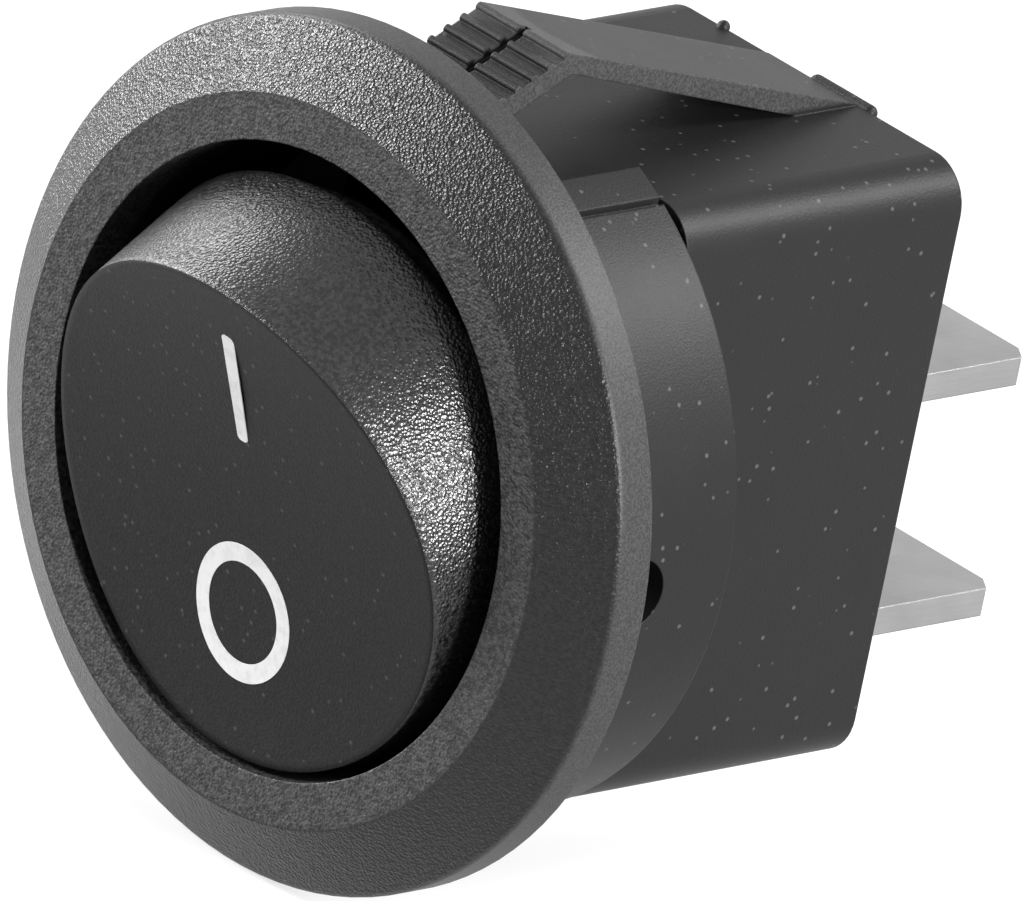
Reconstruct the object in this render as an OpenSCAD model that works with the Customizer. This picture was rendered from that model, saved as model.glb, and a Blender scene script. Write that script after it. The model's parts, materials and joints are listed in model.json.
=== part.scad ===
// Round panel rocker switch, single pole, on-off, with snap wings and tab terminals.
// Frame: origin at the centre of the flange's back face, +Y into the panel, +Z up, front facing -Y.
// Drawn in the off position, with the lower half of the rocker pressed in. Millimetres.

/* [Bezel] */
// Outside diameter of the bezel flange
bezel_d = 23; // [21.5:0.1:25]
// Height of the upright rim between the panel and the bevel
rim_h = 1.25; // [0.8:0.05:1.8]
// Full height of the bezel in front of the panel
bezel_h = 2.33; // [2:0.05:3]
// Diameter where the bevel meets the flat front ring
ring_d = 19.2; // [18.4:0.1:20.4]
// Rounding of the rim's front corner
rim_r = 0.3; // [0.1:0.05:0.5]

/* [Collar] */
// Diameter of the collar that fits the panel hole
collar_d = 19.9; // [19.4:0.1:20.4]
// Depth of the collar behind the panel face
collar_h = 4.5; // [3.8:0.1:6]
// Depth of the full ring at the collar's root
root_ring_h = 1.5; // [1.1:0.1:2]
// Half angle of each side arc of the collar
collar_half_angle = 59; // [50:1:60]
// Thickness of the collar's free shell
collar_wall = 0.9; // [0.7:0.05:1.1]
// Depth of the hollow between the collar's shells and the box
crevice_h = 1; // [0.6:0.1:1.1]
// Width of the groove round the box behind the collar
groove_w = 0.3; // [0.15:0.05:0.4]
// Width of the slot between each arc end and the rib beside the wing's pocket
rib_gap = 0.2; // [0.15:0.05:0.3]

/* [Box] */
// Width of the contact box
box_w = 12.1; // [11.2:0.1:12.2]
// Height of the contact box
box_h = 16.9; // [16.8:0.1:17.2]
// Depth of the box's rear face behind the panel face
box_d = 14.75; // [13.9:0.05:20]
// Rounding of the box's four long edges
box_r = 1.3; // [1.1:0.1:1.6]
// Rounding of the edges round the box's rear face
rear_r = 0.12; // [0.05:0.01:0.2]
// Thickness of the box's side walls
side_wall = 1.2; // [0.9:0.1:1.3]
// Thickness of the box's rear wall
rear_wall = 1.2; // [0.9:0.1:1.5]
// Depth of the shelf where the round well narrows to the contact chamber
shelf_y = 3.3; // [3.1:0.05:3.4]

/* [Snap wings] */
// Width of each snap wing
wing_w = 3.4; // [2.6:0.1:4.2]
// Thickness of the wing's plate
wing_t = 0.6; // [0.5:0.05:0.7]
// Distance of the wing's free tip behind the panel face
wing_tip_y = 1.4; // [1.2:0.1:1.9]
// Height of the free tip's outer edge above the switch axis
wing_tip_z = 10.45; // [10.3:0.05:10.7]
// Distance of the wing's highest ridge behind the panel face
wing_apex_y = 3.45; // [3:0.05:4]
// Height of the highest ridge above the switch axis
wing_apex_z = 11.43; // [11.2:0.05:11.6]
// Distance behind the panel face where the wing's under side meets the box
wing_meet_y = 12.4; // [11.8:0.05:12.8]
// Height of the wing's rear end above the box
wing_end_h = 0.04; // [0.02:0.02:0.2]
// Distance of the wing's rear end from the box's rear face
wing_end_gap = 0.15; // [0.15:0.05:0.4]
// Number of spaces between the grip beads on the ramp
wing_steps = 4; // [2:1:5]
// Radius of the grip beads
bead_r = 0.13; // [0.08:0.01:0.16]
// Width of the groove that splits the ramp in two
wing_groove_w = 0.25; // [0.2:0.05:0.4]
// Depth of that groove
wing_groove_h = 0.28; // [0.2:0.02:0.34]
// Width of the open pocket around each wing
wing_pocket_w = 8; // [7:0.1:8.4]

/* [Gate marks] */
// Sideways place of the gate's lip on the top rear edge
gate_x = 1; // [-2:0.1:2]
// Length of the gate's lip
gate_w = 2; // [1.5:0.1:3]
// Radius of the gate's lip
gate_r = 0.22; // [0.15:0.01:0.3]
// Sideways place of the small nub
nub_x = -3.5; // [-4:0.1:-2.6]
// Radius of the small nub
nub_r = 0.18; // [0.1:0.01:0.25]

/* [Rocker] */
// Angle the rocker tips each way from its middle
tip_angle = 15.4; // [12:0.1:15.6]
// Distance of the rocker's pivot behind the panel face
pivot_y = 1.2; // [1.05:0.05:1.3]
// Height of the rocker's pivot and of the see-saw strip's fulcrum above the bezel's centre
pivot_z = 0.05; // [0:0.05:0.1]
// Rocker diameter at the bezel's front plane
rocker_d = 14.9; // [14.6:0.05:15]
// Narrowing of the rocker's radius per unit of height in front of the bezel
rocker_taper = 0.225; // [0.15:0.005:0.24]
// Height of the middle of the dished face in front of the panel face
dish_mid_h = 3.26; // [3:0.02:3.6]
// Radius of the dish across the face
dish_r = 26.5; // [20:0.5:40]
// Thickness of the rocker's face
face_t = 1.3; // [1:0.05:1.6]
// Thickness of the rocker's skirt
skirt_t = 0.9; // [0.7:0.05:1.1]
// Distance in front of the panel face where the flared side ends
flare_end_h = 0; // [0:0.05:0.5]
// Step inwards from the flared side to the skirt
skirt_step = 0.4; // [0.35:0.05:0.6]
// Reach of the skirt's rear edge behind the panel face, at its two ends
skirt_end_y = 0.8; // [0.6:0.05:0.9]
// Narrowing of the skirt's radius towards its rear edge
skirt_draft = 0.1; // [0.05:0.05:0.3]
// Distance from the pivot to the skirt's rear edge beside the trunnions
skirt_deep_y = 1.4; // [1.2:0.05:1.6]
// Half height of that deep part of the skirt
skirt_deep_z = 2.2; // [1.8:0.1:2.6]
// Height above the axis where the skirt's rear edge has run up to its end level
skirt_end_z = 6; // [5:0.1:6.5]
// Depth of the webs that tie the plunger guide to the skirt
web_h = 2.4; // [2:0.1:3]
// Thickness of those webs
web_t = 1; // [0.8:0.1:1.4]
// Radius of the trunnion pins
trunnion_r = 0.95; // [0.7:0.05:0.95]
// Depth of the trunnion pins' ends below the collar's surface
trunnion_recess = 0.7; // [0.4:0.05:1]
// Outside diameter of the plunger guide
guide_d = 4; // [3.8:0.1:4.4]
// Distance of the plunger guide's rear end behind the pivot
guide_len = 4; // [3.5:0.1:4.6]

/* [Plunger] */
// Diameter of the plunger
plunger_d = 2.4; // [2.2:0.1:2.6]
// Length of the plunger
plunger_len = 6.2; // [5.6:0.1:6.6]
// Diameter of the spring pocket in the plunger
spring_pocket_d = 1.8; // [1.6:0.05:1.9]
// Depth of the spring pocket in the plunger
spring_pocket_h = 4.4; // [3.6:0.1:4.6]
// Outside diameter of the spring
spring_d = 1.6; // [1.4:0.05:1.7]
// Diameter of the spring wire
wire_d = 0.25; // [0.2:0.05:0.3]
// Turns of the spring
spring_turns = 10; // [8:1:12]

/* [Contacts] */
// Distance of the see-saw strip's fulcrum behind the panel face
fulcrum_y = 9.2; // [8.9:0.1:9.6]
// Angle the see-saw strip tips each way from its middle
see_saw_angle = 9; // [7:0.5:10]
// Thickness of the see-saw strip
strip_t = 0.3; // [0.25:0.05:0.4]
// Width of the see-saw strip
strip_w = 4.4; // [4:0.1:5]
// Length of each leaning arm of the strip, from the fulcrum to the pad
arm_len = 3.2; // [3:0.1:3.4]
// Length of the pad at the end of each arm
pad_len = 2.4; // [2.2:0.1:2.6]
// Width left between the notches that the terminal's ears pass through
strip_neck_w = 3.1; // [2.8:0.1:3.4]
// Length of the notches along the strip
notch_len = 2.4; // [2.2:0.1:2.8]
// Diameter of the contact rivets' heads
contact_d = 2.2; // [1.8:0.1:2.4]
// Height of the contact rivets' heads
contact_h = 0.5; // [0.4:0.05:0.6]
// Diameter of the contact rivets' shanks
shank_d = 1; // [0.8:0.1:1.2]
// Height of the headed-over end of each rivet
rivet_end_h = 0.2; // [0.15:0.05:0.3]

/* [Terminals] */
// Width of the tab terminals
tab_w = 4.8; // [4.8:0.1:6.3]
// Thickness of the tab terminals
tab_t = 0.8; // [0.5:0.1:0.8]
// Length of the common tab behind the box
common_tab_len = 7.65; // [6:0.05:9]
// Length of the load tab behind the box
load_tab_len = 8.15; // [6:0.05:9]
// Height of the common terminal's centre above the switch axis
common_z = 0.14; // [0:0.02:0.2]
// Width of the chamfer on each tab's outer corners
tab_chamfer = 0.5; // [0.3:0.05:1]
// Length of that chamfer
tab_nose = 0.35; // [0.2:0.05:0.6]

/* [Fits] */
// Gap between the rocker's side and the round opening, at the bezel's front plane
well_gap = 0.9; // [0.85:0.05:1.1]
// Clearance of the tipped rocker's side in the opening of the contact box
swing_clearance = 0.06; // [0.05:0.01:0.1]
// Radial clearance of the trunnions in their holes
trunnion_clearance = 0.05; // [0.03:0.01:0.08]
// Radial clearance of the plunger in its guide
plunger_clearance = 0.05; // [0.03:0.01:0.08]
// Gap left between the plunger's tip and the see-saw strip in the off position
tip_clearance = 0.17; // [0.16:0.01:0.2]
// Clearance around each tab in the rear wall and around each rivet's shank
seat_clearance = 0.01; // [0.01:0.01:0.03]
// Gap between the load tab and the chamber's lower wall
load_gap = 0.29; // [0.27:0.01:0.35]
// Gap left between the contacts when they are closed
closed_clearance = 0.02; // [0.01:0.01:0.05]

/* [Hidden] */
$fn = 96;

eps = 0.01;
bezel_r = bezel_d / 2;
collar_r = collar_d / 2;
rocker_r = rocker_d / 2;
well_r = rocker_r + well_gap;
chamber_hx = box_w / 2 - side_wall;
chamber_hz = box_h / 2 - side_wall;
rear_in_y = box_d - rear_wall;
load_z = chamber_hz - tab_t / 2 - load_gap;

// Snap wing: the plate slopes from the ridge down to the rear of the box.
wing_root_y = box_d - wing_end_gap;
wing_slope = (wing_apex_z - box_h / 2 - wing_end_h) / (wing_root_y - wing_apex_y);
wing_drop = wing_t * sqrt(1 + pow(wing_slope, 2));

// Rocker in its middle position, before it is tipped.
flare_end_r = rocker_r + rocker_taper * (bezel_h - flare_end_h);
skirt_r = flare_end_r - skirt_step;
skirt_end_r = skirt_r - skirt_draft;
face_edge_y = -dish_mid_h - 3;
face_edge_r = rocker_r + rocker_taper * (face_edge_y + bezel_h);
skirt_mid_y = pivot_y + skirt_deep_y;
dish_axis_y = -dish_mid_h - dish_r;
hood_y = -dish_mid_h + face_t;
trunnion_end_x = collar_r - trunnion_recess;

// Where the flared side's rear edge lies when that end is pressed in, and how far the side above
// it reaches out at the level where the round well ends.
flare_in_y = pivot_y + flare_end_r * sin(tip_angle) - (pivot_y + flare_end_h) * cos(tip_angle);
flare_in_z = flare_end_r * cos(tip_angle) + (pivot_y + flare_end_h) * sin(tip_angle);
side_lean = tip_angle - atan(rocker_taper);
lip_hz = pivot_z + flare_in_z + (flare_in_y - root_ring_h) * tan(side_lean) + swing_clearance;

// See-saw strip: the arms lean forward so that the plunger's tip cradles between them.
arm_lean = see_saw_angle + tip_angle / 2;
tip_r = plunger_d / 2;
reach_total = fulcrum_y - pivot_y;
// Tip's distance from the pivot, found from the strip's face in the off position.
lean_off = arm_lean - see_saw_angle;
tip_reach = (reach_total * cos(lean_off) - strip_t - tip_r - tip_clearance)
    / cos(tip_angle - lean_off);
plunger_front_y = pivot_y + tip_reach + tip_r - plunger_len;
spring_front_y = plunger_front_y - 0.9;
spring_rear_y = plunger_front_y + spring_pocket_h;

// Slope of the common terminal's knife edge, steeper than the strip's arms at any angle.
knife_slope = tan(arm_lean + see_saw_angle) + 0.4;

// Contact faces in the on position, where the pad stands upright.
pad_y_on = fulcrum_y - arm_len * sin(arm_lean - see_saw_angle);
closed_z = pivot_z - arm_len * cos(arm_lean - see_saw_angle) - pad_len / 2;
fixed_face_y = pad_y_on + contact_h + closed_clearance;
plate_y = fixed_face_y + contact_h;

// Prism along Y from y0 to y1 with a 2-D section drawn in X and Z.
module along_y(y0, y1) {
    translate([0, y1, 0])
        rotate([90, 0, 0])
            linear_extrude(height = y1 - y0)
                children();
}

// Prism along X, centred, with a 2-D section drawn in Y and Z.
module along_x(width) {
    translate([-width / 2, 0, 0])
        rotate([90, 0, 90])
            linear_extrude(height = width)
                children();
}

// Cylinder along Y.
module rod_y(r, y0, y1) {
    translate([0, y0, 0])
        rotate([-90, 0, 0])
            cylinder(r = r, h = y1 - y0);
}

// Turned shape about Y with a profile drawn as [radius, y].
module turned(points) {
    rotate([-90, 0, 0])
        rotate_extrude()
            polygon(points);
}

// Rectangle with round corners, made of squares and circles.
module round_rect(hx, hz, r) {
    square([2 * (hx - r), 2 * hz], center = true);
    square([2 * hx, 2 * (hz - r)], center = true);
    for (sx = [-1, 1], sz = [-1, 1])
        translate([sx * (hx - r), sz * (hz - r)])
            circle(r = r);
}

// Tip the rocker's parts to the off position.
module tipped() {
    translate([0, pivot_y, pivot_z])
        rotate([tip_angle, 0, 0])
            translate([0, -pivot_y, 0])
                children();
}

// Tip the see-saw strip's parts to the off position, from a frame with the fulcrum at its origin.
module seesawed() {
    translate([0, fulcrum_y, pivot_z])
        rotate([-see_saw_angle, 0, 0])
            children();
}

module bezel_solid() {
    turned(concat(
        [[0, 0], [0, -bezel_h], [ring_d / 2, -bezel_h]],
        [for (a = [60 : -15 : 0])
            [bezel_r - rim_r + rim_r * cos(a), -rim_h + rim_r - rim_r * sin(a)]],
        [[bezel_r, 0]]
    ));
}

// Collar: side shells, a rib beside each arc end and a full ring at the root.
module collar_solid() {
    slot_x = collar_r * cos(collar_half_angle) - rib_gap / 2;
    difference() {
        rod_y(collar_r, -0.5, collar_h);
        for (sz = [-1, 1]) {
            // Open pocket around each snap wing.
            translate([-wing_pocket_w / 2, root_ring_h, sz > 0 ? box_h / 2 - 0.6 : -collar_r - 1])
                cube([wing_pocket_w, collar_h, collar_r + 1.6 - box_h / 2]);
            // Slots between the ribs and the arc ends.
            for (sx = [-1, 1])
                translate([sx * slot_x - rib_gap / 2, root_ring_h,
                    sz > 0 ? box_h / 2 - 0.6 : -collar_r - 1])
                    cube([rib_gap, collar_h, collar_r + 1.6 - box_h / 2]);
        }
        // Hollow between the shells and the box, open to the rear.
        rod_y(collar_r - collar_wall, collar_h - crevice_h, collar_h + 1);
    }
}

module box_solid() {
    difference() {
        union() {
            along_y(0, box_d - rear_r)
                round_rect(box_w / 2, box_h / 2, box_r);
            along_y(box_d - rear_r - eps, box_d)
                round_rect(box_w / 2 - rear_r, box_h / 2 - rear_r, box_r - rear_r);
        }
        // Groove that frees the collar's shells where the box's corners come near them.
        translate([0, collar_h, 0])
            rotate([-90, 0, 0])
                difference() {
                    cylinder(r = collar_r + 2, h = groove_w);
                    translate([0, 0, -1])
                        cylinder(r = collar_r - collar_wall, h = groove_w + 2);
                }
    }
}

// Snap wing: a ramp with half-round grip beads, a ridge and a plate that slopes to the rear.
module wing() {
    tip = [wing_tip_y, wing_tip_z];
    ridge = [wing_apex_y, wing_apex_z];
    along = (ridge - tip) / norm(ridge - tip);
    up = [-along[1], along[0]];
    difference() {
        along_x(wing_w)
            polygon(concat(
                [tip + [0.5, -wing_t]],
                [for (i = [0 : wing_steps], a = [180 : -30 : i < wing_steps ? 0 : 60])
                    tip + i / wing_steps * (ridge - tip) - bead_r * up
                        + bead_r * (cos(a) * along + sin(a) * up)],
                [
                    [wing_root_y, box_h / 2 + wing_end_h],
                    [wing_root_y, box_h / 2 - 0.3],
                    [wing_meet_y, box_h / 2 - 0.3],
                    [wing_meet_y, box_h / 2],
                    [wing_apex_y + 0.35, wing_apex_z - wing_drop]
                ]));
        // Groove down the middle of the ramp.
        along_x(wing_groove_w)
            polygon([
                tip - along - wing_groove_h * up, ridge + 0.2 * along - wing_groove_h * up,
                ridge + 0.2 * along + up, tip - along + up
            ]);
    }
}

// Rounded lip and small nub left by the mould on the top rear edge.
module gate_marks() {
    translate([gate_x, box_d + gate_r * 0.3, box_h / 2 - gate_r * 0.5])
        rotate([0, 90, 0])
            rotate_extrude($fn = 24)
                polygon(concat(
                    [[0, -gate_w / 2 - gate_r]],
                    [for (a = [-75 : 15 : 0]) [gate_r * cos(a), gate_r * sin(a) - gate_w / 2]],
                    [for (a = [0 : 15 : 75]) [gate_r * cos(a), gate_r * sin(a) + gate_w / 2]],
                    [[0, gate_w / 2 + gate_r]]
                ));
    translate([nub_x, box_d - 0.1, box_h / 2])
        sphere(r = nub_r, $fn = 24);
}

module well_hollow() {
    rod_y(well_r, -bezel_h - 1, root_ring_h - eps);
    intersection() {
        rod_y(well_r, -1, shelf_y);
        along_y(-1, shelf_y)
            square([2 * well_r + 1, 2 * lip_hz], center = true);
    }
}

module chamber_hollow() {
    along_y(shelf_y - 1, rear_in_y)
        square([2 * chamber_hx, 2 * chamber_hz], center = true);
}

module tab_slot(z) {
    translate([0, rear_in_y + rear_wall / 2, z])
        cube([tab_w + 2 * seat_clearance, rear_wall + 2, tab_t + 2 * seat_clearance],
            center = true);
}

// One moulding: bezel, collar, contact box, snap wings and trunnion holes.
module housing() {
    color("#26262a")
        difference() {
            union() {
                bezel_solid();
                collar_solid();
                box_solid();
                wing();
                rotate([0, 180, 0])
                    wing();
                gate_marks();
            }
            well_hollow();
            chamber_hollow();
            translate([0, pivot_y, pivot_z])
                rotate([0, 90, 0])
                    cylinder(r = trunnion_r + trunnion_clearance, h = 2 * bezel_r, center = true);
            tab_slot(common_z);
            tab_slot(-load_z);
        }
}

// Rocker before tipping: dished face, tapered side, skirt, trunnions and plunger guide.
module rocker_blank() {
    difference() {
        union() {
            difference() {
                turned([
                    [0, skirt_mid_y], [0, face_edge_y], [face_edge_r, face_edge_y],
                    [flare_end_r, -flare_end_h], [skirt_r, skirt_step - flare_end_h],
                    [skirt_end_r, skirt_end_y], [skirt_end_r, skirt_mid_y]
                ]);
                // Hollow under the face.
                rod_y(skirt_end_r - skirt_t, hood_y, skirt_mid_y + 1);
                // The rear edge runs up from the pivot to each end.
                for (s = [-1, 1])
                    along_x(2 * rocker_d)
                        polygon([
                            [skirt_mid_y + 1, s * skirt_deep_z], [skirt_mid_y, s * skirt_deep_z],
                            [skirt_end_y, s * skirt_end_z], [skirt_end_y, s * (rocker_r + 2)],
                            [skirt_mid_y + 1, s * (rocker_r + 2)]
                        ]);
            }
            rod_y(guide_d / 2, hood_y - 0.5, pivot_y + guide_len);
            // Webs that tie the guide to the skirt.
            translate([0, hood_y + web_h / 2, 0])
                cube([2 * (skirt_end_r - skirt_t / 2), web_h, web_t], center = true);
            for (s = [-1, 1])
                rotate([0, s * 90, 0])
                    translate([0, pivot_y, skirt_end_r - skirt_t + 0.1])
                        cylinder(r = trunnion_r, h = trunnion_end_x - skirt_end_r + skirt_t - 0.1);
        }
        // Dish across the face.
        rotate([0, 90, 0])
            translate([0, dish_axis_y, 0])
                cylinder(r = dish_r, h = 3 * rocker_d, center = true, $fn = 360);
        // Bore for the plunger and its spring.
        rod_y(plunger_d / 2 + plunger_clearance, spring_front_y, pivot_y + guide_len + 1);
    }
}

module rocker() {
    color("#1e1e21")
        tipped()
            rocker_blank();
}

module plunger() {
    color("#d9d9d2")
        tipped()
            difference() {
                turned(concat(
                    [[0, plunger_front_y], [tip_r, plunger_front_y]],
                    [for (a = [0 : 7.5 : 90])
                        [tip_r * cos(a), pivot_y + tip_reach + tip_r * sin(a)]]
                ));
                rod_y(spring_pocket_d / 2, plunger_front_y - 1, spring_rear_y);
            }
}

// Coil wound round Y, as rings of points joined into a tube with closed ends.
module coil(r, wire_r, y0, y1, turns) {
    sides = 6;
    steps = turns * 16;
    rise = y1 - y0 - 2 * wire_r;
    points = [for (i = [0 : steps], j = [0 : sides - 1])
        let (
            t = 360 * turns * i / steps,
            w = 360 * j / sides,
            q = r + wire_r * cos(w)
        )
            [q * cos(t), y0 + wire_r + rise * i / steps + wire_r * sin(w), q * sin(t)]];
    walls = [for (i = [0 : steps - 1], j = [0 : sides - 1])
        let (a = i * sides + j, b = i * sides + (j + 1) % sides)
            [a, b, b + sides, a + sides]];
    front_cap = [[for (j = [0 : sides - 1]) sides - 1 - j]];
    rear_cap = [[for (j = [0 : sides - 1]) steps * sides + j]];
    polyhedron(points = points, faces = concat(walls, front_cap, rear_cap), convexity = 10);
}

module plunger_spring() {
    color("#a9adb1")
        tipped()
            coil((spring_d - wire_d) / 2, wire_d / 2, spring_front_y + eps, spring_rear_y - eps,
                spring_turns);
}

// Section of the whole strip in Y and Z, with its fulcrum edge at the origin.
module strip_section() {
    bend = [-arm_len * sin(arm_lean), arm_len * cos(arm_lean)];
    tip = bend + pad_len * [-sin(see_saw_angle), cos(see_saw_angle)];
    tip_front = tip - strip_t * [cos(see_saw_angle), sin(see_saw_angle)];
    half = (arm_lean + see_saw_angle) / 2;
    knee = strip_t / cos((arm_lean - see_saw_angle) / 2);
    bend_front = bend - knee * [cos(half), sin(half)];
    polygon([
        [0, 0], bend, tip, tip_front, bend_front, [-strip_t / cos(arm_lean), 0],
        [bend_front[0], -bend_front[1]], [tip_front[0], -tip_front[1]],
        [tip[0], -tip[1]], [bend[0], -bend[1]]
    ]);
}

// Place a rivet's parts on the lower pad, with the pad's rear face at y = 0.
module at_lower_pad() {
    rotate([-see_saw_angle, 0, 0])
        translate([0, -arm_len * sin(arm_lean - see_saw_angle),
            -arm_len * cos(arm_lean - see_saw_angle) - pad_len / 2])
            children();
}

module see_saw_strip() {
    color("#b8793c")
        seesawed()
            difference() {
                along_x(strip_w)
                    strip_section();
                for (s = [-1, 1])
                    translate([s * (strip_neck_w / 2 + 2), 0, 0])
                        cube([4, 4, notch_len], center = true);
                at_lower_pad()
                    rod_y(shank_d / 2 + seat_clearance, -strip_t - 1, 1);
            }
}

module rivet(grip) {
    rod_y(shank_d / 2, -grip - rivet_end_h + eps, eps);
    rod_y(shank_d * 0.75, -grip - rivet_end_h, -grip);
    turned([
        [0, 0], [contact_d / 2, 0], [contact_d / 2, contact_h * 0.7],
        [contact_d / 2 - 0.3, contact_h], [0, contact_h]
    ]);
}

module moving_contact() {
    color("#c9c9c4")
        seesawed()
            at_lower_pad()
                rivet(strip_t);
}

// Flat tab that leaves the box along Y, with its outer corners taken off.
module tab_blade(y0, tip_y) {
    linear_extrude(height = tab_t, center = true)
        polygon([
            [-tab_w / 2, y0], [tab_w / 2, y0],
            [tab_w / 2, tip_y - tab_nose], [tab_w / 2 - tab_chamfer, tip_y],
            [-tab_w / 2 + tab_chamfer, tip_y], [-tab_w / 2, tip_y - tab_nose]
        ]);
}

module common_terminal() {
    ear_x = strip_neck_w / 2 + 0.15;
    color("#b9bbbd")
        difference() {
            translate([0, 0, common_z])
                tab_blade(fulcrum_y - 0.8, box_d + common_tab_len);
            // Clear the strip between the two ears, down to the knife edge.
            along_x(2 * ear_x)
                polygon([
                    [fulcrum_y - 2, -tab_w], [fulcrum_y + tab_w * knife_slope, -tab_w],
                    [fulcrum_y + closed_clearance, pivot_z],
                    [fulcrum_y + tab_w * knife_slope, tab_w], [fulcrum_y - 2, tab_w]
                ]);
            // Outer flanks, so that the ears stand inside the strip's width.
            for (s = [-1, 1])
                translate([s * (tab_w / 2 + 0.05), fulcrum_y, 0])
                    cube([0.6, 3, 3], center = true);
        }
}

module load_terminal() {
    plate_top_z = closed_z + contact_d / 2 + 0.2;
    color("#b9bbbd")
        difference() {
            union() {
                translate([0, 0, -load_z])
                    tab_blade(plate_y, box_d + load_tab_len);
                translate([-tab_w / 2, plate_y, -load_z - tab_t / 2])
                    cube([tab_w, tab_t, plate_top_z + load_z + tab_t / 2]);
            }
            translate([0, 0, closed_z])
                rod_y(shank_d / 2 + seat_clearance, plate_y - 1, plate_y + tab_t + 1);
        }
}

module fixed_contact() {
    color("#c9c9c4")
        translate([0, plate_y, closed_z])
            rotate([180, 0, 0])
                rivet(tab_t);
}

housing();
rocker();
plunger();
plunger_spring();
see_saw_strip();
moving_contact();
common_terminal();
load_terminal();
fixed_contact();
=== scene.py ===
"""Looks of the round panel rocker switch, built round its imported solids."""
import json
import math
from collections import namedtuple

import bpy
from mathutils import Matrix, Vector


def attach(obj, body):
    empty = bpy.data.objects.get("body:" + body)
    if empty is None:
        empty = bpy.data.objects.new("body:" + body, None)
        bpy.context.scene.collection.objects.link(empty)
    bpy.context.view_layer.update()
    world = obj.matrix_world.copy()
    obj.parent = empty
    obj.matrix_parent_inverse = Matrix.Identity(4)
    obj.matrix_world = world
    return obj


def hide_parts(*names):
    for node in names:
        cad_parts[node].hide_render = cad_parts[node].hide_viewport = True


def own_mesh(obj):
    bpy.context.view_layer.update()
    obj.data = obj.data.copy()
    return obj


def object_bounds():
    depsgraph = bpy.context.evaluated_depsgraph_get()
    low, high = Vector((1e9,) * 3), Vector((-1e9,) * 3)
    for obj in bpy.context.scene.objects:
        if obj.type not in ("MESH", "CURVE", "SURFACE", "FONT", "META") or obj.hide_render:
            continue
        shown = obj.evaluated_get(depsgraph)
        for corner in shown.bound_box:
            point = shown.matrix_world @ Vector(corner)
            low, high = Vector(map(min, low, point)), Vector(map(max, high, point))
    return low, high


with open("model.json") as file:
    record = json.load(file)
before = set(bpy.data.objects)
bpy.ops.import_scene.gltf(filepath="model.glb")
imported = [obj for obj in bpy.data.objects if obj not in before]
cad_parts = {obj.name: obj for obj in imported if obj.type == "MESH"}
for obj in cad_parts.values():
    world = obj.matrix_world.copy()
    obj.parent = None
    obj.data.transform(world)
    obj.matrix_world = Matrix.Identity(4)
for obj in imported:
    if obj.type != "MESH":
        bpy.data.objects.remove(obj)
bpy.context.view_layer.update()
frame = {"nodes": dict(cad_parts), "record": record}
nodes = frame["nodes"]
joints = {j["name"]: j for j in frame["record"]["behaviour"]["joints"]}
MM = 0.001
# At rest the rocker is off, which is this far from the middle of its travel.
REST_TILT = math.radians(joints["rocker_tilt"]["range_deg"][1] / 2)


# ---------------------------------------------------------------- camera
def add_camera(azimuth, elevation, roll, distance, target, lens):
    """Long lens at azimuth and elevation in degrees from the target, turned by roll."""
    az, el, ro = (math.radians(a) for a in (azimuth, elevation, roll))
    back = Vector((math.sin(az) * math.cos(el), -math.cos(az) * math.cos(el), math.sin(el)))
    right = Vector((math.cos(az), math.sin(az), 0))
    up = back.cross(right)
    tilted_right = right * math.cos(ro) + up * math.sin(ro)
    tilted_up = up * math.cos(ro) - right * math.sin(ro)
    camera = bpy.data.objects.new("camera", bpy.data.cameras.new("camera"))
    bpy.context.collection.objects.link(camera)
    turn = Matrix((tilted_right, tilted_up, back)).transposed().to_4x4()
    camera.matrix_world = Matrix.Translation(Vector(target) + back * distance) @ turn
    camera.data.sensor_width = 36
    camera.data.lens = lens
    camera.data.clip_start = 0.01
    camera.data.clip_end = 20
    bpy.context.scene.camera = camera


add_camera(azimuth=43.004, elevation=21.953, roll=11.629, distance=1.06505,
           target=(0.426 * MM, 5.814 * MM, -0.668 * MM), lens=1450)


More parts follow.
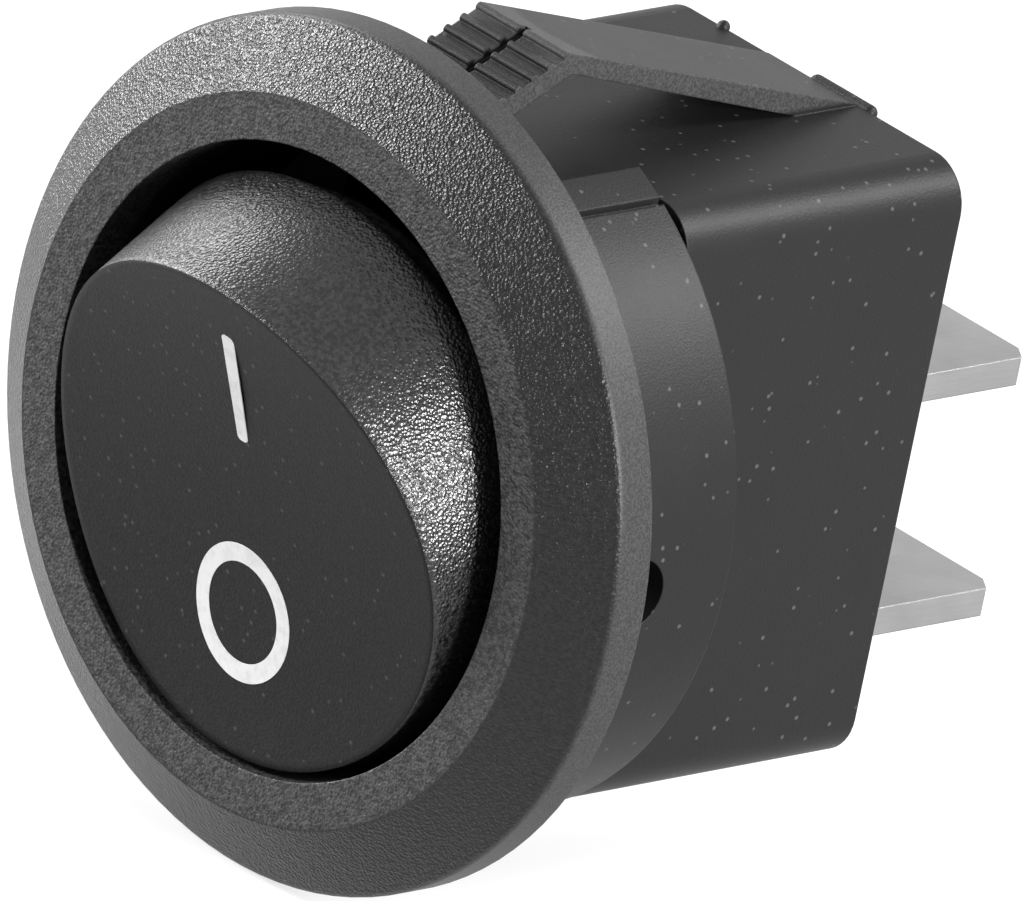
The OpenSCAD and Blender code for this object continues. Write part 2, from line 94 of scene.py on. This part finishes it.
# ---------------------------------------------------------------- materials
class Shader:
    """A node material under construction, with short calls for the nodes used here."""

    def __init__(self, name):
        self.material = bpy.data.materials.new(name)
        self.material.use_nodes = True
        self.tree = self.material.node_tree
        self.bsdf = self.tree.nodes["Principled BSDF"]
        self.place = self.node("ShaderNodeTexCoord").outputs["Object"]

    def node(self, kind, **settings):
        made = self.tree.nodes.new(kind)
        for key, value in settings.items():
            setattr(made, key, value)
        return made

    def link(self, source, target):
        self.tree.links.new(source, target)

    def feed(self, socket, value):
        """Put a number or colour on the socket itself, or link an output to it."""
        if isinstance(value, (int, float, tuple)):
            socket.default_value = value
        else:
            self.link(value, socket)

    def noise(self, scale, detail=3.0, roughness=0.5, place=None):
        made = self.node("ShaderNodeTexNoise")
        made.inputs["Scale"].default_value = scale
        made.inputs["Detail"].default_value = detail
        made.inputs["Roughness"].default_value = roughness
        self.link(place or self.place, made.inputs["Vector"])
        return made.outputs["Fac"]

    def cells(self, scale):
        """Distance to the nearest of many scattered points."""
        made = self.node("ShaderNodeTexVoronoi")
        made.inputs["Scale"].default_value = scale
        self.link(self.place, made.inputs["Vector"])
        return made.outputs["Distance"]

    def math(self, operation, a, b=0.0):
        made = self.node("ShaderNodeMath", operation=operation)
        self.feed(made.inputs[0], a)
        self.feed(made.inputs[1], b)
        return made.outputs[0]

    def product(self, first, *others):
        for other in others:
            first = self.math("MULTIPLY", first, other)
        return first

    def ramp(self, value, start, end):
        """0 at start and before, 1 at end and beyond, smooth between."""
        made = self.node("ShaderNodeMapRange", interpolation_type="SMOOTHSTEP")
        made.inputs["From Min"].default_value = start
        made.inputs["From Max"].default_value = end
        self.link(value, made.inputs["Value"])
        return made.outputs[0]

    def above(self, value, edge):
        """1 beyond the edge, which is a pair of a lower and an upper limit."""
        return self.ramp(value, edge[0], edge[1])

    def below(self, value, edge):
        return self.ramp(value, edge[1], edge[0])

    def blend(self, factor, a, b, kind):
        made = self.node("ShaderNodeMix", data_type=kind)
        self.feed(made.inputs["Factor"], factor)
        self.feed(made.inputs["A"], a)
        self.feed(made.inputs["B"], b)
        return made.outputs["Result"]

    def mix(self, factor, a, b):
        return self.blend(factor, a, b, "RGBA")

    def mix_value(self, factor, a, b):
        return self.blend(factor, a, b, "FLOAT")

    def axes(self):
        made = self.node("ShaderNodeSeparateXYZ")
        self.link(self.place, made.inputs[0])
        return made.outputs

    def bump(self, height, distance, strength, normal=None):
        made = self.node("ShaderNodeBump")
        self.feed(made.inputs["Strength"], strength)
        made.inputs["Distance"].default_value = distance
        self.link(height, made.inputs["Height"])
        if normal is not None:
            self.link(normal, made.inputs["Normal"])
        return made.outputs["Normal"]

    def bevel(self, radius):
        made = self.node("ShaderNodeBevel", samples=6)
        made.inputs["Radius"].default_value = radius
        return made.outputs["Normal"]

    def set(self, **values):
        for name, value in values.items():
            self.feed(self.bsdf.inputs[name.replace("_", " ")], value)


def grey(value, warm=0.0):
    """A near-neutral colour, linear."""
    return (value * (1 + warm), value, value * (1 - warm), 1.0)


def give(name, shader):
    """Put one material on a CAD node."""
    mesh = nodes[name].data
    mesh.materials.clear()
    mesh.materials.append(shader.material)
    for polygon in mesh.polygons:
        polygon.material_index = 0


# Grains and specks, in cells per metre.
GRAIN = 7500          # spark-eroded grain
PITS = 11000          # round pits of the eroded grain
FINE = 15000          # fine matte grain
DUST = 1900           # light specks on the housing
FACE_DUST = 2200      # light specks on the rocker's face
CLOUD = 420           # slow unevenness of the housing

# Bump heights in metres.
GRAIN_DEPTH = 0.12 * MM
PIT_DEPTH = 0.10 * MM
FINE_DEPTH = 0.04 * MM

# A black finish: grey in the pits and on the peaks of its grain, roughness and specular level.
Finish = namedtuple("Finish", "pits peaks roughness gloss")
RING = Finish(0.010, 0.05, 0.45, 0.25)
BEVEL = Finish(0.002, 0.008, 0.25, 0.33)
ROCKER_SIDE = Finish(0.003, 0.018, 0.26, 0.5)
ROCKER_FACE = Finish(0.003, 0.012, 0.46, 0.15)
BODY_GLOSS = 0.18

# Where the housing's finishes meet, and where the painted highlight on the wings' side faces ends,
# as pairs of limits in metres.
FRONT_EDGE = (-1.25 * MM, -1.0 * MM)          # bevel and upright rim, along y
RING_EDGE = (9.5 * MM, 9.65 * MM)             # front ring and bevel, by radius
RIM_EDGE = (11.2 * MM, 11.3 * MM)             # collar and upright rim, by radius
# The next four bound the painted highlight on the wings' side faces.
LIT_WING_INNER = (1.66 * MM, 1.69 * MM)           # the wing's side face, across
LIT_WING_OUTER = (1.72 * MM, 1.75 * MM)
LIT_WING_FOOT = (8.5 * MM, 8.7 * MM)              # top of the box and wing, by height
LIT_WING_FRONT = (1.1 * MM, 1.3 * MM)             # flange and wing, along y


def speckled(s, grain, pits, peaks):
    """Colour that runs from one grey in the pits of a grain to another on its peaks."""
    return s.mix(s.ramp(grain, 0.36, 0.66), grey(pits), grey(peaks))


def housing_shader():
    """Black nylon: eroded sparkling bevel and front ring, satin rim, collar, box and wings, with a
    painted highlight on the wings' side faces.
    """
    s = Shader("housing_nylon")
    x, y, z = s.axes()
    across = s.math("ABSOLUTE", x)
    height = s.math("ABSOLUTE", z)
    radius = s.math("SQRT", s.math("ADD", s.product(x, x), s.product(z, z)))
    front = s.below(y, FRONT_EDGE)
    ring = s.product(s.below(radius, RING_EDGE), front)
    bevel = s.product(s.above(radius, RING_EDGE), front)
    rim = s.product(s.above(radius, RIM_EDGE), s.above(y, FRONT_EDGE))
    # Painted highlight: the wings' side faces get a lighter grey than the box beside them, standing
    # in for the light falling on them.
    wing_side_painted_light = s.product(s.above(across, LIT_WING_INNER), s.below(across, LIT_WING_OUTER),
                          s.above(height, LIT_WING_FOOT), s.above(y, LIT_WING_FRONT))
    coarse = s.noise(GRAIN, detail=2, roughness=0.6)
    fine = s.noise(FINE, detail=2, roughness=0.6)
    cloud = s.noise(CLOUD)
    dust = s.product(s.ramp(s.cells(DUST), 0.15, 0.07), 0.5)

    colour = s.mix(fine, grey(0.005), s.mix(cloud, grey(0.007), grey(0.011)))
    colour = s.mix(dust, colour, grey(0.1))
    colour = s.mix(rim, colour, speckled(s, fine, 0.02, 0.04))
    colour = s.mix(ring, colour, speckled(s, coarse, RING.pits, RING.peaks))
    colour = s.mix(bevel, colour, speckled(s, coarse, BEVEL.pits, BEVEL.peaks))
    # Painted highlight: lighter grey on the wings' side faces.
    colour = s.mix(wing_side_painted_light, colour, speckled(s, fine, 0.022, 0.045))
    rough = s.mix_value(ring, s.mix_value(cloud, 0.42, 0.48), RING.roughness)
    rough = s.mix_value(bevel, rough, BEVEL.roughness)
    gloss = s.mix_value(bevel, s.mix_value(ring, BODY_GLOSS, RING.gloss), BEVEL.gloss)
    eroded = s.math("MAXIMUM", s.product(bevel, 0.34), s.product(ring, 0.3))
    bumped = s.bump(fine, FINE_DEPTH, 0.25, s.bevel(0.07 * MM))
    bumped = s.bump(coarse, GRAIN_DEPTH, s.product(eroded, 0.6), bumped)
    bumped = s.bump(s.cells(PITS), PIT_DEPTH, eroded, bumped)
    s.set(Base_Color=colour, Roughness=rough, Specular_IOR_Level=gloss, Normal=bumped)
    return s


def rocker_shader():
    """Black nylon: sparkling eroded sides and a finer, darker matte face with a soft edge."""
    s = Shader("rocker_nylon")
    facing = s.node("ShaderNodeVectorMath", operation="DOT_PRODUCT")
    s.link(s.node("ShaderNodeTexCoord").outputs["Normal"], facing.inputs[0])
    facing.inputs[1].default_value = (0, -math.cos(REST_TILT), -math.sin(REST_TILT))
    face = s.ramp(facing.outputs["Value"], 0.6, 0.8)
    side = s.math("SUBTRACT", 1.0, face)
    coarse = s.noise(GRAIN, detail=2, roughness=0.6)
    fine = s.noise(FINE, detail=2, roughness=0.65)
    dust = s.product(s.ramp(s.cells(FACE_DUST), 0.17, 0.07), 0.5)

    matte = s.mix(dust, speckled(s, fine, ROCKER_FACE.pits, ROCKER_FACE.peaks), grey(0.08))
    colour = s.mix(face, speckled(s, coarse, ROCKER_SIDE.pits, ROCKER_SIDE.peaks), matte)
    bumped = s.bump(fine, FINE_DEPTH, s.mix_value(face, 0.0, 0.4), s.bevel(0.3 * MM))
    bumped = s.bump(coarse, GRAIN_DEPTH, s.product(side, 0.2), bumped)
    bumped = s.bump(s.cells(PITS), PIT_DEPTH, s.product(side, 0.24), bumped)
    s.set(Base_Color=colour, Normal=bumped,
          Roughness=s.mix_value(face, ROCKER_SIDE.roughness, ROCKER_FACE.roughness),
          Specular_IOR_Level=s.mix_value(face, ROCKER_SIDE.gloss, ROCKER_FACE.gloss))
    return s


def tin_shader():
    """Matte tin plate with faint rolling lines along the tab."""
    s = Shader("tin_plate")
    stretched = s.node("ShaderNodeMapping")
    stretched.inputs["Scale"].default_value = (9000, 500, 9000)
    s.link(s.place, stretched.inputs["Vector"])
    lines = s.noise(1.0, detail=2.0, place=stretched.outputs[0])
    cloud = s.noise(700)
    s.set(Base_Color=s.mix(cloud, grey(0.2), grey(0.26)), Metallic=0.85,
          Roughness=s.mix_value(cloud, 0.5, 0.6),
          Normal=s.bump(lines, 0.02 * MM, 0.4, s.bevel(0.06 * MM)))
    return s


def plain_shader(name, colour, metallic, roughness):
    """One colour with a slight uneven sheen."""
    s = Shader(name)
    wave = s.noise(3000)
    darker = tuple(c * 0.88 for c in colour[:3]) + (1.0,)
    s.set(Base_Color=s.mix(wave, colour, darker), Metallic=metallic,
          Roughness=s.mix_value(wave, roughness, roughness * 1.2),
          Normal=s.bump(wave, 0.01 * MM, 0.5, s.bevel(0.04 * MM)))
    return s


give("housing", housing_shader())
give("rocker", rocker_shader())
for terminal in ("common_terminal", "load_terminal"):
    give(terminal, tin_shader())
give("plunger", plain_shader("plunger_nylon", grey(0.7, 0.03), 0.0, 0.45))
give("plunger_spring", plain_shader("spring_wire", grey(0.5), 1.0, 0.3))
give("see_saw_strip", plain_shader("copper_strip", (0.62, 0.33, 0.17, 1.0), 1.0, 0.35))
silver = plain_shader("silver_alloy", grey(0.75, 0.01), 1.0, 0.3)
for contact in ("moving_contact", "fixed_contact"):
    give(contact, silver)


# ---------------------------------------------------------------- spring
def add_spring():
    """The plunger's spring as a copy of its solid between the rocker and the sliding plunger,
    carried by the plunger.
    """
    node = nodes["plunger_spring"]
    spring = bpy.data.objects.new("spring_coil", node.data.copy())
    bpy.context.collection.objects.link(spring)
    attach(spring, "plunger")
    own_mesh(spring)
    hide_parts("plunger_spring")


add_spring()


# ---------------------------------------------------------------- marks on the rocker's face
PIVOT = Vector(joints["rocker_tilt"]["pos_m"])
FACE_MIDDLE = -3.26 * MM      # the dished face's deepest line, along y with the rocker untilted
FACE_RADIUS = 26.5 * MM       # radius of the dish
INK = 0.012 * MM              # how far the ink stands off the face, and how far it sinks in
INK_ROWS = 5                  # rows of quads across a mark, which let it follow the dish


def on_face(x, z, lift):
    """The point of the tilted face at x and z of the untilted rocker, lifted off the face."""
    y = FACE_MIDDLE - (FACE_RADIUS - math.sqrt(FACE_RADIUS ** 2 - z ** 2)) - lift - PIVOT.y
    return Vector((x,
                   PIVOT.y + y * math.cos(REST_TILT) - z * math.sin(REST_TILT),
                   PIVOT.z + y * math.sin(REST_TILT) + z * math.cos(REST_TILT)))


def ink_piece(name, outer, inner):
    """A thin closed layer of ink on the face, between two outlines of equally many points."""
    count = len(outer)
    layer = (INK_ROWS + 1) * count
    last = INK_ROWS * count
    verts, faces = [], []
    for lift in (INK, -INK):
        for row in range(INK_ROWS + 1):
            t = row / INK_ROWS
            for (ax, az), (bx, bz) in zip(outer, inner):
                verts.append(on_face(ax + (bx - ax) * t, az + (bz - az) * t, lift))
    for row in range(INK_ROWS):
        a, b = row * count, (row + 1) * count
        for i in range(count):
            j = (i + 1) % count
            faces.append((a + i, a + j, b + j, b + i))
            faces.append((layer + a + j, layer + a + i, layer + b + i, layer + b + j))
    for i in range(count):
        j = (i + 1) % count
        faces.append((i, layer + i, layer + j, j))
        faces.append((last + j, layer + last + j, layer + last + i, last + i))
    mesh = bpy.data.meshes.new(name)
    mesh.from_pydata([tuple(v) for v in verts], [], faces)
    mesh.validate()
    made = bpy.data.objects.new(name, mesh)
    bpy.context.collection.objects.link(made)
    return made


def oval(z, half_width, half_height, count=96):
    """Closed oval outline round the point at height z on the face's middle line."""
    turns = [2 * math.pi * i / count for i in range(count)]
    return [(half_width * math.cos(a), z + half_height * math.sin(a)) for a in turns]


def bar(low, high, low_half, high_half, corner, steps=8):
    """Closed outline of an upright bar with rounded ends and a slight taper."""
    corners = ((high_half - corner, high - corner, 0), (-high_half + corner, high - corner, 90),
               (-low_half + corner, low + corner, 180), (low_half - corner, low + corner, 270))
    points = []
    for x, z, start in corners:
        for i in range(steps + 1):
            a = math.radians(start + 90 * i / steps)
            points.append((x + corner * math.cos(a), z + corner * math.sin(a)))
    return points


def middle_line(outline):
    """The outline's points moved sideways to its mean x."""
    mean = sum(x for x, _ in outline) / len(outline)
    return [(mean, z) for _, z in outline]


def ink_shader():
    """Pale grey printed ink, slightly worn."""
    s = Shader("mark_ink")
    wear = s.noise(2600, detail=4, roughness=0.7)
    colour = s.mix(s.ramp(wear, 0.25, 0.6), grey(0.58), grey(0.70))
    s.set(Base_Color=colour, Roughness=0.6, Normal=s.bump(wear, 0.01 * MM, 0.3))
    return s


O_CENTRE = -3.17 * MM
I_OUTLINE = bar(2.0 * MM, 5.4 * MM, 0.2 * MM, 0.235 * MM, 0.15 * MM)
ink = ink_shader()
mark_off = ink_piece("off_mark", oval(O_CENTRE, 1.79 * MM, 1.915 * MM),
                     oval(O_CENTRE, 1.31 * MM, 1.395 * MM))
mark_on = ink_piece("on_mark", I_OUTLINE, middle_line(I_OUTLINE))
for mark in (mark_off, mark_on):
    mark.data.materials.append(ink.material)
    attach(mark, "rocker")


# ---------------------------------------------------------------- floor, backdrop and light
FLOOR_HALF = 1.2              # half the floor's width
FLOOR_LIFT = 0.76             # brightness added to the floor where it is seen
FILL = 0.055                  # even light from all round
CENTRE = Vector((0, 0.005, 0))
LAMP_DISTANCE = 0.4


def seen_directly(tree):
    """1 for what the camera sees itself, in a reflection or through glass."""
    path = tree.nodes.new("ShaderNodeLightPath")
    seen = path.outputs["Is Camera Ray"]
    for other in ("Is Glossy Ray", "Is Transmission Ray"):
        either = tree.nodes.new("ShaderNodeMath")
        either.operation = "MAXIMUM"
        tree.links.new(seen, either.inputs[0])
        tree.links.new(path.outputs[other], either.inputs[1])
        seen = either.outputs[0]
    return seen


def add_floor():
    """Pale floor at the object's lowest point, lifted to white where seen, with its shadow kept."""
    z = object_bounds()[0][2]
    corners = ((-1, -1), (1, -1), (1, 1), (-1, 1))
    mesh = bpy.data.meshes.new("floor")
    mesh.from_pydata([(x * FLOOR_HALF, y * FLOOR_HALF, z) for x, y in corners], [],
                     [(0, 1, 2, 3)])
    floor = bpy.data.objects.new("floor", mesh)
    bpy.context.collection.objects.link(floor)
    material = bpy.data.materials.new("floor_white")
    material.use_nodes = True
    tree = material.node_tree
    pale = tree.nodes["Principled BSDF"]
    pale.inputs["Base Color"].default_value = grey(0.2)
    pale.inputs["Roughness"].default_value = 0.9
    pale.inputs["Emission Color"].default_value = grey(1.0)
    lift = tree.nodes.new("ShaderNodeMath")
    lift.operation = "MULTIPLY"
    lift.inputs[1].default_value = FLOOR_LIFT
    tree.links.new(seen_directly(tree), lift.inputs[0])
    tree.links.new(lift.outputs[0], pale.inputs["Emission Strength"])
    mesh.materials.append(material)


def add_world():
    """White behind everything, and the even fill light."""
    world = bpy.data.worlds.new("studio")
    bpy.context.scene.world = world
    world.use_nodes = True
    tree = world.node_tree
    soft = tree.nodes["Background"]
    soft.inputs["Color"].default_value = grey(1.0)
    soft.inputs["Strength"].default_value = FILL
    white = tree.nodes.new("ShaderNodeBackground")
    white.inputs["Color"].default_value = grey(1.0)
    white.inputs["Strength"].default_value = 1.0
    either = tree.nodes.new("ShaderNodeMixShader")
    tree.links.new(seen_directly(tree), either.inputs[0])
    tree.links.new(soft.outputs[0], either.inputs[1])
    tree.links.new(white.outputs[0], either.inputs[2])
    tree.links.new(either.outputs[0], tree.nodes["World Output"].inputs["Surface"])


def add_softbox(name, direction, size, level):
    """Square lamp that lights a white surface facing it to the given level."""
    lamp = bpy.data.lights.new(name, "AREA")
    lamp.shape = "SQUARE"
    lamp.size = size
    lamp.energy = level * (math.pi * LAMP_DISTANCE) ** 2
    made = bpy.data.objects.new(name, lamp)
    bpy.context.collection.objects.link(made)
    toward = Vector(direction).normalized()
    made.location = CENTRE + toward * LAMP_DISTANCE
    made.rotation_euler = toward.to_track_quat("Z", "Y").to_euler()


add_floor()
add_world()
add_softbox("rear_softbox", (0.41, 0.63, 0.66), size=0.14, level=1.2)
add_softbox("right_softbox", (0.93, -0.03, 0.33), size=0.10, level=2.1)
add_softbox("left_softbox", (-0.95, -0.22, 0.22), size=0.12, level=1.0)
add_softbox("left_rear_softbox", (-0.85, 0.25, 0.46), size=0.14, level=0.35)
add_softbox("upper_softbox", (-0.70, -0.53, 0.48), size=0.10, level=0.9)
add_softbox("front_softbox", (-0.45, -0.88, 0.08), size=0.08, level=0.35)

bpy.context.scene.view_settings.view_transform = "Standard"
